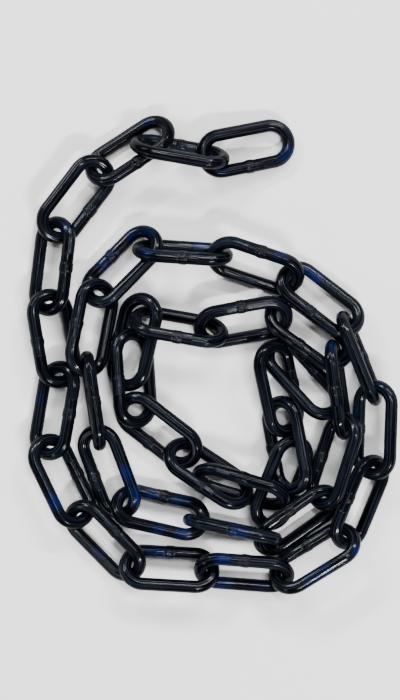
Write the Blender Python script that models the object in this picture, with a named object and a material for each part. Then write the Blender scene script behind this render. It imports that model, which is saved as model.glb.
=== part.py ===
"""A heap of barrier chain: one length of welded steel links that lies in a flat spiral on the floor.

Each link is one closed wire. Its place in the heap starts from a middle, a heading and a lean, and the
links are then seated on each other and on the floor, one wire clear of the next.
"""
import math

import bpy
import numpy as np
from mathutils import Matrix

# Driving dimensions of the chain, in metres
WIRE_DIAMETER = 0.008
LINK_LENGTH = 0.066
LINK_WIDTH = 0.032
WELD_DIAMETER = 0.0092
WELD_LENGTH = 0.004
WELD_SHOULDER = 0.0008
SEAT_GAP = 0.0003

# How finely a link is drawn
SIDES_AROUND_WIRE = 8
STEPS_AROUND_END = 8

WIRE_RADIUS = WIRE_DIAMETER / 2
END_RADIUS = (LINK_WIDTH - WIRE_DIAMETER) / 2
HALF_LEG = (LINK_LENGTH - LINK_WIDTH) / 2

# The links from the outer free end to the inner one: the middle of the link in plan (metres), its heading
# towards the next link (degrees from +X), its lean (degrees, positive lifts the leg on the left of the
# heading) and the leg with the weld (1 is the left leg, -1 the right one).
PLACES = [
    (0.0222, 0.1361, -168.5, 0, 1),
    (-0.0209, 0.1331, 175.5, 66, -1),
    (-0.0536, 0.1348, -150.7, 42, 1),
    (-0.0893, 0.1027, -130.2, -15, 1),
    (-0.1051, 0.0581, -94.8, 41, 1),
    (-0.1031, 0.0109, -71, -22, -1),
    (-0.1024, -0.0345, -112, 42, 1),
    (-0.0992, -0.0825, -61, -23, 1),
    (-0.0713, -0.1218, -54.5, 43, 1),
    (-0.0333, -0.1400, 2, -27, 1),
    (0.0181, -0.1425, -9.2, 48, 1),
    (0.0682, -0.1353, 33, -44, 1),
    (0.0974, -0.0968, 68.3, 47, 1),
    (0.1080, -0.0478, 86, -36, 1),
    (0.0958, 0.0017, 116, 81, -1),
    (0.0707, 0.0370, 136, 31, 1),
    (0.0285, 0.0599, 158.4, -38, -1),
    (-0.0244, 0.0677, 184.5, 74, 1),
    (-0.0591, 0.0592, -134, 51, -1),
    (-0.0792, 0.0193, -104.5, -34, -1),
    (-0.0789, -0.0292, -74, 80, 1),
    (-0.0670, -0.0784, -74, 41, -1),
    (-0.0360, -0.1022, -8, -36, 1),
    (0.0131, -0.1138, -11, 85, 1),
    (0.0576, -0.1115, 29, 44, 1),
    (0.0816, -0.0690, 74.5, -38, 1),
    (0.0835, -0.0202, 104.8, 79, 1),
    (0.0641, 0.0164, 148, 37, 1),
    (0.0204, 0.0220, -169.2, -35, -1),
    (-0.0218, 0.0187, 170.5, 56, 1),
    (-0.0509, 0.0089, -105, 38, -1),
    (-0.0513, -0.0149, -83.5, -35, -1),
    (-0.0351, -0.0490, -33.2, 36, -1),
    (-0.0020, -0.0761, -39, -42, -1),
    (0.0200, -0.0873, -21.5, 57, 1),
    (0.0468, -0.0848, 58.5, 43, -1),
    (0.0491, -0.0596, 103, -45, 1),
    (0.0442, -0.0206, 103.5, 42, -1),
    (0.0609, -0.0153, -43, -42, 1),
]

# Links whose front end starts on top of the next link: degrees of nose-up pitch by link number
RAISED_FRONTS = {1: 12, 14: 5, 38: 6}

# How the links are seated: rounds of closing up, then rounds that only clear what still touches
CLOSING_ROUNDS = 500
CLEARING_ROUNDS = 150
NEIGHBOUR_ROUNDS = 10
NEIGHBOUR_REACH = 0.014
SAMPLE_SPACING = 0.0028
SAMPLE_MARGIN = 0.00015
DROP_EACH_ROUND = 0.00008
PULL_TO_PLACE = 0.12
PULL_TO_LEAN = 0.02
SWING_RADIUS = 0.02
OVERSHOOT = 1.5


def link_outline():
    """The middle line of the wire in the link's own plane, as rows of x, y and thickness factor.

    The link runs along x, and its weld is on the leg at +y.
    """
    thick = WELD_DIAMETER / WIRE_DIAMETER
    weld_end = WELD_LENGTH / 2
    outline = []
    for middle, first_angle in ((HALF_LEG, -math.pi / 2), (-HALF_LEG, math.pi / 2)):
        for step in range(STEPS_AROUND_END + 1):
            angle = first_angle + math.pi * step / STEPS_AROUND_END
            outline.append((middle + END_RADIUS * math.cos(angle), END_RADIUS * math.sin(angle), 1))
        if middle > 0:
            for x, factor in ((weld_end + WELD_SHOULDER, 1), (weld_end, thick),
                              (-weld_end, thick), (-weld_end - WELD_SHOULDER, 1)):
                outline.append((x, END_RADIUS, factor))
    return np.array(outline)


def sampled(outline):
    """The outline cut into short, nearly even steps."""
    following = np.roll(outline, -1, axis=0)
    rows = []
    for start, end in zip(outline, following):
        count = max(1, round(float(np.linalg.norm(end[:2] - start[:2])) / SAMPLE_SPACING))
        for step in range(count):
            rows.append(start + (end - start) * step / count)
    return np.array(rows)


def turn_matrices(vectors):
    """Rotation matrices for rows of rotation vectors."""
    angles = np.linalg.norm(vectors, axis=1)
    axes = vectors / np.where(angles > 0, angles, 1)[:, None]
    x, y, z = axes.T
    zero = np.zeros_like(x)
    cross = np.array([[zero, -z, y], [z, zero, -x], [-y, x, zero]]).transpose(2, 0, 1)
    sine = np.sin(angles)[:, None, None]
    versine = (1 - np.cos(angles))[:, None, None]
    return np.eye(3) + sine * cross + versine * cross @ cross


def starting_poses():
    """Middles and rotations of the links as PLACES gives them, each with its lowest point on the floor."""
    middles = []
    rotations = []
    for number, (x, y, heading, lean, _) in enumerate(PLACES, 1):
        lean = math.radians(lean)
        pitch = math.radians(RAISED_FRONTS.get(number, 0))
        rise = END_RADIUS * abs(math.sin(lean)) + HALF_LEG * math.sin(pitch)
        middles.append((x, y, WIRE_RADIUS + rise))
        rotations.append(Matrix.Rotation(math.radians(heading), 3, "Z")
                         @ Matrix.Rotation(-pitch, 3, "Y")
                         @ Matrix.Rotation(lean, 3, "X"))
    return np.array(middles), np.array(rotations)


def drawn_back(middles, rotations, wanted_middles, wanted_rotations, ease):
    """The links lowered a little and pulled towards their places, headings and leans. Pitch stays free."""
    middles = middles.copy()
    middles[:, :2] += (wanted_middles - middles)[:, :2] * PULL_TO_PLACE * ease
    middles[:, 2] -= DROP_EACH_ROUND * ease
    error = wanted_rotations @ rotations.transpose(0, 2, 1)
    back = np.column_stack((error[:, 2, 1] - error[:, 1, 2],
                            error[:, 0, 2] - error[:, 2, 0],
                            error[:, 1, 0] - error[:, 0, 1])) / 2
    across = np.column_stack((-rotations[:, 1, 0], rotations[:, 0, 0], np.zeros(len(rotations))))
    across /= np.linalg.norm(across, axis=1)[:, None]
    back -= across * (back * across).sum(1)[:, None]
    return middles, turn_matrices(back * PULL_TO_LEAN * ease) @ rotations


def near_pairs(points):
    """The pairs of links that come close enough to touch."""
    middles = points.mean(1)
    spans = np.linalg.norm(middles[:, None] - middles[None], axis=-1)
    first, second = np.nonzero(np.triu(spans < LINK_LENGTH + WIRE_DIAMETER, 1))
    apart = np.linalg.norm(points[first][:, :, None] - points[second][:, None], axis=-1).min((1, 2))
    close = apart < NEIGHBOUR_REACH
    return first[close], second[close]


def pushed_clear(middles, rotations, points, radii, pairs):
    """The links moved and turned out of each other and out of the floor."""
    first, second = pairs
    need = radii[:, None] + radii[None] + SEAT_GAP + SAMPLE_MARGIN
    between = points[first][:, :, None] - points[second][:, None]
    distance = np.sqrt((between ** 2).sum(-1))
    pair, spot_a, spot_b = np.nonzero(distance < need)
    link_a = first[pair]
    link_b = second[pair]
    apart = distance[pair, spot_a, spot_b]
    away = between[pair, spot_a, spot_b] / apart[:, None]
    depth = need[spot_a, spot_b] - apart
    swing_a = np.cross(points[link_a, spot_a] - middles[link_a], away) / SWING_RADIUS
    swing_b = np.cross(points[link_b, spot_b] - middles[link_b], away) / SWING_RADIUS
    share = depth / (2 + (swing_a ** 2).sum(1) + (swing_b ** 2).sum(1))

    low, spot = np.nonzero(points[:, :, 2] < radii)
    up = np.tile((0.0, 0.0, 1.0), (len(low), 1))
    sunk = radii[spot] - points[low, spot, 2]
    swing_low = np.cross(points[low, spot] - middles[low], up) / SWING_RADIUS
    share_low = sunk / (1 + (swing_low ** 2).sum(1))

    shift = np.zeros_like(middles)
    swing = np.zeros_like(middles)
    weight = np.zeros(len(middles))
    for link, push, turn, amount, deep in ((link_a, away, swing_a, share, depth),
                                           (link_b, -away, -swing_b, share, depth),
                                           (low, up, swing_low, share_low, sunk)):
        np.add.at(shift, link, push * (amount * deep)[:, None])
        np.add.at(swing, link, turn * (amount * deep)[:, None])
        np.add.at(weight, link, deep)
    scale = OVERSHOOT / np.where(weight > 0, weight, 1)[:, None]
    return middles + shift * scale, turn_matrices(swing * scale / SWING_RADIUS) @ rotations


def seated_poses():
    """The starting poses, moved just enough that every link rests clear of the others and of the floor.

    The heap ends centred on the origin in plan.
    """
    middles, rotations = starting_poses()
    wanted_middles, wanted_rotations = middles, rotations
    samples = sampled(link_outline())
    radii = samples[:, 2] * WIRE_RADIUS
    flat = np.column_stack((samples[:, :2], np.zeros(len(samples))))
    weld_sides = np.array([(1, place[4], 1) for place in PLACES])
    local = flat[None] * weld_sides[:, None]
    for round_number in range(CLOSING_ROUNDS + CLEARING_ROUNDS):
        ease = 1 - round_number / CLOSING_ROUNDS
        if ease > 0:
            middles, rotations = drawn_back(middles, rotations, wanted_middles, wanted_rotations, ease)
        points = middles[:, None] + local @ rotations.transpose(0, 2, 1)
        if round_number % NEIGHBOUR_ROUNDS == 0:
            pairs = near_pairs(points)
        middles, rotations = pushed_clear(middles, rotations, points, radii, pairs)
    points = middles[:, None] + local @ rotations.transpose(0, 2, 1)
    middles[:, :2] -= (points.max((0, 1)) + points.min((0, 1)))[:2] / 2
    return middles, rotations


def painted_steel():
    """Near-black gloss paint on steel."""
    material = bpy.data.materials.new("black_painted_steel")
    material.use_nodes = True
    shader = material.node_tree.nodes["Principled BSDF"]
    shader.inputs["Base Color"].default_value = (0.012, 0.013, 0.018, 1)
    shader.inputs["Roughness"].default_value = 0.3
    shader.inputs["Metallic"].default_value = 0.0
    return material


def link_curve(name, weld_side, material):
    """A closed wire loop with a swelling where its ends are butt-welded."""
    curve = bpy.data.curves.new(name, "CURVE")
    curve.dimensions = "3D"
    curve.bevel_depth = WIRE_RADIUS
    curve.bevel_resolution = SIDES_AROUND_WIRE // 2 - 2
    curve.materials.append(material)
    outline = link_outline()
    spline = curve.splines.new("POLY")
    spline.points.add(len(outline) - 1)
    for point, (x, y, factor) in zip(spline.points, outline):
        point.co = (x, y * weld_side, 0, 1)
        point.radius = factor
    spline.use_cyclic_u = True
    spline.use_smooth = True
    return curve


def build():
    for old in list(bpy.data.objects):
        bpy.data.objects.remove(old, do_unlink=True)
    heap = bpy.data.collections.new("barrier_chain_heap")
    bpy.context.scene.collection.children.link(heap)
    material = painted_steel()
    curves = {side: link_curve(f"welded_link_{side}", side, material) for side in (1, -1)}
    middles, rotations = seated_poses()
    for number, (place, middle, rotation) in enumerate(zip(PLACES, middles, rotations), 1):
        link = bpy.data.objects.new(f"link_{number:02d}", curves[place[4]])
        link.matrix_world = Matrix.Translation(middle) @ Matrix(rotation.tolist()).to_4x4()
        heap.objects.link(link)


build()
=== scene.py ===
import math

import bpy
import numpy as np
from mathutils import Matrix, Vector


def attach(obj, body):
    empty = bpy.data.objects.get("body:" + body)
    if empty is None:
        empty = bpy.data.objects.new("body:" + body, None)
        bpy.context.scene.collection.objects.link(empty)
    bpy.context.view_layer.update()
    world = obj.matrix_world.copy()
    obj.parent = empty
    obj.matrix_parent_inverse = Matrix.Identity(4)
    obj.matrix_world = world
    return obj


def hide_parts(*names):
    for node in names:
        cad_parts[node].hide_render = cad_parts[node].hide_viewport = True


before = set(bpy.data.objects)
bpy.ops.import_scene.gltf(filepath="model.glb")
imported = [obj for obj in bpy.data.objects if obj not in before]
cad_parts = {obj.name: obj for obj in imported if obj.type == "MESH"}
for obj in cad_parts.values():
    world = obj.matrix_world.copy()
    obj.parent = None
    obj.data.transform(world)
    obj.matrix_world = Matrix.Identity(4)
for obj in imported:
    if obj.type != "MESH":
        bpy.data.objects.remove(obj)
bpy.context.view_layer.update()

# The chain's real sizes, in metres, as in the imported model
WIRE_RADIUS = 0.004
PAINT_FILM = 0.00016
LINK_LENGTH = 0.066
LINK_WIDTH = 0.032
WELD_RADIUS = 0.0046
WELD_LENGTH = 0.0048
END_RADIUS = LINK_WIDTH / 2 - WIRE_RADIUS
HALF_LEG = (LINK_LENGTH - LINK_WIDTH) / 2
BEND_LENGTH = math.pi * END_RADIUS
LOOP_LENGTH = 4 * HALF_LEG + 2 * BEND_LENGTH

# How finely a link is drawn
SIDES = 32
WELD_ZONE = 0.009
WELD_STEP = 0.0003
PLAIN_STEP = 0.0008

# The camera looks straight down on the heap
VIEW_HEIGHT = 0.459
VIEW_MIDDLE = (-0.0078, 0.0027, 0.012)
CAMERA_DISTANCE = 1.3
SENSOR = 0.036

# Places on the heap where the paint has a navy cast: x, y and reach in metres, and strength
NAVY_PATCHES = [
    (0.049, 0.132, 0.008, 1.0), (0.007, 0.119, 0.006, 0.5), (-0.042, 0.152, 0.006, 0.5),
    (-0.052, 0.080, 0.008, 0.8), (-0.043, 0.082, 0.008, 0.8), (-0.067, 0.067, 0.007, 0.9),
    (-0.071, 0.060, 0.006, 0.9), (-0.042, 0.066, 0.005, 0.7), (-0.006, 0.072, 0.008, 0.6),
    (0.045, 0.066, 0.006, 0.5), (0.067, 0.053, 0.009, 1.0), (0.093, -0.038, 0.004, 0.6),
    (-0.103, -0.097, 0.008, 1.0), (-0.075, -0.132, 0.006, 0.5), (-0.035, -0.129, 0.009, 1.0),
    (0.007, -0.134, 0.008, 1.0), (0.007, -0.151, 0.008, 0.8), (0.033, -0.153, 0.007, 0.5),
    (0.066, -0.146, 0.008, 1.0), (0.074, -0.141, 0.008, 1.0), (0.095, -0.128, 0.006, 0.9),
    (-0.056, -0.079, 0.009, 1.0), (-0.051, -0.093, 0.009, 1.0), (-0.040, -0.091, 0.007, 0.9),
    (-0.020, -0.096, 0.009, 1.0), (-0.017, -0.109, 0.006, 0.8), (-0.019, -0.118, 0.007, 1.0),
    (-0.035, -0.114, 0.006, 0.9), (0.017, -0.115, 0.009, 1.0), (-0.112, -0.028, 0.006, 0.5),
    (-0.095, 0.083, 0.005, 0.5), (0.077, 0.005, 0.006, 0.5), (0.110, -0.019, 0.005, 0.5),
]


def stations():
    """Distances round the link's wire from the middle of the weld, closer together at the weld."""
    near_weld = np.arange(-WELD_ZONE, WELD_ZONE, WELD_STEP)
    rest = LOOP_LENGTH - 2 * WELD_ZONE
    plain = WELD_ZONE + np.linspace(0, rest, round(rest / PLAIN_STEP), endpoint=False)
    return np.concatenate((near_weld, plain))


def wire_line(distance):
    """The middle line of the wire in the link's own plane and the way out from it, at each distance.

    The link runs along x, and its weld is in the middle of the leg at +y.
    """
    points = []
    outward = []
    for s in np.mod(distance, LOOP_LENGTH):
        if s < HALF_LEG:
            points.append((s, END_RADIUS))
            outward.append((0, 1))
        elif s < HALF_LEG + BEND_LENGTH:
            turn = math.pi / 2 - (s - HALF_LEG) / END_RADIUS
            out = (math.cos(turn), math.sin(turn))
            points.append((HALF_LEG + END_RADIUS * out[0], END_RADIUS * out[1]))
            outward.append(out)
        elif s < 3 * HALF_LEG + BEND_LENGTH:
            points.append((2 * HALF_LEG + BEND_LENGTH - s, -END_RADIUS))
            outward.append((0, -1))
        elif s < 3 * HALF_LEG + 2 * BEND_LENGTH:
            turn = -math.pi / 2 - (s - 3 * HALF_LEG - BEND_LENGTH) / END_RADIUS
            out = (math.cos(turn), math.sin(turn))
            points.append((-HALF_LEG + END_RADIUS * out[0], END_RADIUS * out[1]))
            outward.append(out)
        else:
            points.append((s - LOOP_LENGTH, END_RADIUS))
            outward.append((0, 1))
    return np.array(points), np.array(outward)


def waves(rng, s, turn, count, along, around, height):
    """A smooth uneven surface: waves of chosen lengths along the wire and round it, with random phases."""
    total = np.zeros(np.broadcast(s, turn).shape)
    for _ in range(count):
        cycles = rng.integers(around[0], around[1] + 1)
        length = rng.uniform(*along)
        start, drift = rng.uniform(0, 2 * math.pi, 2)
        total += np.sin(2 * math.pi * s / length + start) * np.cos(cycles * turn + drift)
    return total * height / math.sqrt(count)


def wire_radius(rng, s, turn):
    """The painted wire's radius at each distance and angle round it, and how much each place is weld."""
    near = np.minimum(np.mod(s, LOOP_LENGTH), LOOP_LENGTH - np.mod(s, LOOP_LENGTH))
    half_weld = WELD_LENGTH / 2 * rng.uniform(0.85, 1.15)
    weld = 0.5 - 0.5 * np.tanh((near - half_weld) / 0.0004)
    around_weld = 0.5 - 0.5 * np.tanh((near - half_weld - 0.001) / 0.0007)
    radius = WIRE_RADIUS + PAINT_FILM + waves(rng, s, turn, 5, (0.05, 0.12), (2, 3), 0.00003)
    radius = radius + waves(rng, s, turn, 8, (0.04, 0.12), (5, 9), 0.00005)
    collar = (WELD_RADIUS - WIRE_RADIUS - PAINT_FILM) * rng.uniform(0.75, 0.95)
    collar = collar + waves(rng, s, turn, 6, (0.004, 0.009), (1, 4), 0.00014)
    radius = radius + weld * collar
    radius = radius + around_weld * waves(rng, s, turn, 12, (0.0016, 0.004), (3, 9), 0.000055)
    seam = np.exp(-(near / 0.0005) ** 2)
    radius = radius + seam * (0.00008 + 0.00008 * np.cos(2 * turn + rng.uniform(0, 6)))
    return np.minimum(radius, WELD_RADIUS + 0.00008), around_weld * np.ones_like(turn)


def link_frame(node):
    """The middle of a packed link and its axes: along it, across it towards the weld, and up through it."""
    points = np.unique(np.array([v.co for v in node.data.vertices]).round(6), axis=0)
    centre = points.mean(0)
    _, axes = np.linalg.eigh(np.cov((points - centre).T))
    up, across, along = axes.T
    ends = points[np.abs((points - centre) @ along) > HALF_LEG]
    spread = (ends - centre) @ axes
    centre = centre + axes @ ((spread.max(0) + spread.min(0)) / 2)
    weld_points = points[np.abs((points - centre) @ along) < WELD_LENGTH]
    across = across * np.sign(((weld_points - centre) @ across).mean())
    up = up * np.sign(up[2])
    return centre, np.column_stack((np.cross(across, up), across, up))


def navy_at(points):
    """How strongly the paint is navy at each point."""
    strength = np.zeros(len(points))
    for x, y, reach, most in NAVY_PATCHES:
        away = np.hypot(points[:, 0] - x, points[:, 1] - y) / reach
        strength = np.maximum(strength, most * np.clip(1.6 * (1 - away), 0, 1))
    return strength


def make_link(number, node, material):
    """One welded link as a painted wire loop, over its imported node."""
    rng = np.random.default_rng(number)
    s = stations()
    rings = len(s)
    points, outward = wire_line(s)
    turn = np.linspace(0, 2 * math.pi, SIDES, endpoint=False)
    radius, weld = wire_radius(rng, s[:, None], turn[None])
    cos, sin = np.cos(turn)[None], np.sin(turn)[None]
    local = np.empty((rings, SIDES, 3))
    local[..., 0] = points[:, 0, None] + radius * cos * outward[:, 0, None]
    local[..., 1] = points[:, 1, None] + radius * cos * outward[:, 1, None]
    local[..., 2] = radius * sin
    centre, axes = link_frame(node)
    placed = local.reshape(-1, 3) @ axes.T + centre

    ring = np.arange(rings)[:, None]
    side = np.arange(SIDES)[None]
    next_ring = (ring + 1) % rings
    next_side = (side + 1) % SIDES
    faces = np.stack((ring * SIDES + side, next_ring * SIDES + side,
                      next_ring * SIDES + next_side, ring * SIDES + next_side), -1).reshape(-1, 4)
    mesh = bpy.data.meshes.new(f"painted_{node.name}")
    mesh.from_pydata(placed.tolist(), [], faces.tolist())
    mesh.validate()
    mesh.polygons.foreach_set("use_smooth", np.ones(len(faces), bool))

    unrolled = np.empty((rings, SIDES, 3))
    unrolled[..., 0] = s[:, None] + 0.37 * number
    unrolled[..., 1] = WIRE_RADIUS * cos
    unrolled[..., 2] = WIRE_RADIUS * sin
    along_wire = mesh.attributes.new("along_wire", "FLOAT_VECTOR", "POINT")
    along_wire.data.foreach_set("vector", unrolled.astype(np.float32).ravel())
    for name, values in (("weld", weld.ravel()), ("navy", navy_at(placed))):
        attribute = mesh.attributes.new(name, "FLOAT", "POINT")
        attribute.data.foreach_set("value", values.astype(np.float32))

    corner_ring = np.broadcast_to(ring, (rings, SIDES))
    corner_side = np.broadcast_to(side, (rings, SIDES))
    across_map = np.stack((corner_ring, corner_ring + 1, corner_ring + 1, corner_ring), -1) / rings
    up_map = np.stack((corner_side, corner_side, corner_side + 1, corner_side + 1), -1) / SIDES
    layer = mesh.uv_layers.new(name="unrolled")
    layer.data.foreach_set("uv", np.stack((across_map, up_map), -1).astype(np.float32).ravel())

    mesh.materials.append(material)
    link = bpy.data.objects.new(f"painted_{node.name}", mesh)
    bpy.context.scene.collection.objects.link(link)
    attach(link, "root")
    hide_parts(node.name)
    return link


class Nodes:
    """A material's node tree with short calls for the nodes used here."""

    def __init__(self, material):
        material.use_nodes = True
        self.tree = material.node_tree
        self.shader = self.tree.nodes["Principled BSDF"]

    def add(self, kind, settings=None, **inputs):
        node = self.tree.nodes.new(kind)
        for name, value in (settings or {}).items():
            setattr(node, name, value)
        for name, value in inputs.items():
            self.set(node.inputs[name.replace("_", " ")], value)
        return node

    def set(self, socket, value):
        if isinstance(value, bpy.types.NodeSocket):
            self.tree.links.new(value, socket)
        else:
            socket.default_value = value

    def attribute(self, name):
        return self.add("ShaderNodeAttribute", {"attribute_name": name})

    def scaled(self, vector, scale):
        node = self.add("ShaderNodeVectorMath", {"operation": "MULTIPLY"})
        self.set(node.inputs[0], vector)
        self.set(node.inputs[1], scale)
        return node.outputs[0]

    def noise(self, vector, detail=2.0, roughness=0.5):
        return self.add("ShaderNodeTexNoise", Vector=vector, Scale=1.0, Detail=detail,
                        Roughness=roughness).outputs["Fac"]

    def ramp(self, value, low, high, to_low=0.0, to_high=1.0):
        node = self.add("ShaderNodeMapRange", {"clamp": True})
        for slot, number in enumerate((value, low, high, to_low, to_high)):
            self.set(node.inputs[slot], number)
        return node.outputs[0]

    def math(self, operation, first, second):
        node = self.add("ShaderNodeMath", {"operation": operation})
        self.set(node.inputs[0], first)
        self.set(node.inputs[1], second)
        return node.outputs[0]

    def mix(self, share, first, second):
        node = self.add("ShaderNodeMix", {"data_type": "RGBA"})
        self.set(node.inputs[0], share)
        self.set(node.inputs[6], first)
        self.set(node.inputs[7], second)
        return node.outputs[2]


def black_paint():
    """Gloss black paint, dipped thickly: fine lines along the wire, runs, speckle on the welds, navy patches;
    the colour also carries painted highlight lines along the wire with painted shade between them.
    """
    material = bpy.data.materials.new("black_paint")
    nodes = Nodes(material)
    wire = nodes.attribute("along_wire").outputs["Vector"]
    weld = nodes.attribute("weld").outputs["Fac"]
    navy = nodes.attribute("navy").outputs["Fac"]

    lines = nodes.noise(nodes.scaled(wire, (8, 750, 750)), 0.0)
    runs = nodes.noise(nodes.scaled(wire, (90, 320, 320)), 2.0)
    peel = nodes.noise(nodes.scaled(wire, (1100, 1100, 1100)), 2.0)
    speckle = nodes.noise(nodes.scaled(wire, (900, 900, 900)), 3.0, 0.6)
    clouds = nodes.noise(nodes.scaled(wire, (70, 160, 160)), 2.0)

    # Painted light: lighter lines in the base colour along the wire stand for highlight lines reflected off its
    # ridges, and the darker colour between them is painted shade in the grooves.
    painted_highlight_lines = nodes.noise(nodes.scaled(wire, (14, 1500, 1500)), 0.0)
    painted_highlight_lines = nodes.ramp(nodes.math("ADD", painted_highlight_lines, nodes.math("MULTIPLY", clouds, 0.3)), 0.62, 0.82)
    # In both the black and the navy colour, the lighter end of the mix is the painted highlight line and the
    # darker end is the painted shade between lines.
    black = nodes.mix(painted_highlight_lines, (0.0002, 0.0003, 0.0008, 1), (0.0054, 0.0070, 0.0112, 1))
    blue = nodes.mix(painted_highlight_lines, (0.0007, 0.0018, 0.013, 1), (0.0036, 0.0084, 0.052, 1))
    patch = nodes.math("MULTIPLY", navy, nodes.ramp(clouds, 0.30, 0.60, 0.45, 1.0))
    nodes.set(nodes.shader.inputs["Base Color"], nodes.mix(patch, black, blue))

    rough = nodes.ramp(nodes.math("ADD", lines, runs), 0.7, 1.3, 0.25, 0.40)
    nodes.set(nodes.shader.inputs["Roughness"], rough)

    nodes.shader.inputs["Specular IOR Level"].default_value = 0.015
    nodes.shader.inputs["Coat Weight"].default_value = 0.14
    nodes.shader.inputs["Coat Roughness"].default_value = 0.12
    height = nodes.math("MULTIPLY", lines, 0.00045)
    height = nodes.math("ADD", height, nodes.math("MULTIPLY", runs, 0.00008))
    height = nodes.math("ADD", height, nodes.math("MULTIPLY", peel, 0.000010))
    rough_weld = nodes.math("MULTIPLY", nodes.math("MULTIPLY", speckle, weld), 0.00035)
    height = nodes.math("ADD", height, rough_weld)
    bump = nodes.add("ShaderNodeBump", Height=height, Strength=1.0, Distance=1.0)
    nodes.set(nodes.shader.inputs["Normal"], bump.outputs[0])
    nodes.set(nodes.shader.inputs["Coat Normal"], bump.outputs[0])
    return material


def floor_material():
    material = bpy.data.materials.new("pale_floor")
    nodes = Nodes(material)
    nodes.shader.inputs["Base Color"].default_value = (0.66, 0.63, 0.60, 1)
    nodes.shader.inputs["Roughness"].default_value = 0.9
    nodes.shader.inputs["Specular IOR Level"].default_value = 0.1
    return material


def make_floor():
    bpy.ops.mesh.primitive_plane_add(size=12, location=(0, 0, -0.0003))
    floor = bpy.context.object
    floor.name = "floor"
    floor.data.materials.append(floor_material())


def make_camera():
    data = bpy.data.cameras.new("camera")
    data.sensor_width = SENSOR * 1000
    data.lens = SENSOR * 1000 * CAMERA_DISTANCE / VIEW_HEIGHT
    camera = bpy.data.objects.new("camera", data)
    camera.location = Vector(VIEW_MIDDLE) + Vector((0, 0, CAMERA_DISTANCE))
    bpy.context.scene.collection.objects.link(camera)
    bpy.context.scene.camera = camera


def softbox(name, place, size, power):
    """A square studio light that faces the heap."""
    data = bpy.data.lights.new(name, "AREA")
    data.shape = "RECTANGLE"
    data.size, data.size_y = size
    data.color = (0.90, 0.95, 1.0)
    data.energy = power
    light = bpy.data.objects.new(name, data)
    light.location = place
    light.rotation_euler = (-Vector(place)).to_track_quat("-Z", "Y").to_euler()
    bpy.context.scene.collection.objects.link(light)


def make_lights():
    world = bpy.data.worlds.new("studio")
    world.use_nodes = True
    background = world.node_tree.nodes["Background"]
    background.inputs["Color"].default_value = (0.93, 0.97, 1.0, 1)
    background.inputs["Strength"].default_value = 0.25
    bpy.context.scene.world = world
    softbox("lower_softbox", (0.52, -1.22, 1.5), (0.6, 0.10), 76)
    softbox("upper_left_softbox", (-0.95, 1.3, 1.2), (1.2, 0.14), 54)
    softbox("upper_right_softbox", (0.6, 1.35, 1.4), (1.2, 0.12), 56)
    softbox("left_softbox", (-1.25, -1.0, 0.9), (0.8, 0.15), 7)
    softbox("overhead_softbox", (0.30, 0.35, 2.0), (1.0, 0.10), 32)


make_camera()
make_lights()
make_floor()
paint = black_paint()
for number, name in enumerate(sorted(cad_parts), 1):
    make_link(number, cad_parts[name], paint)
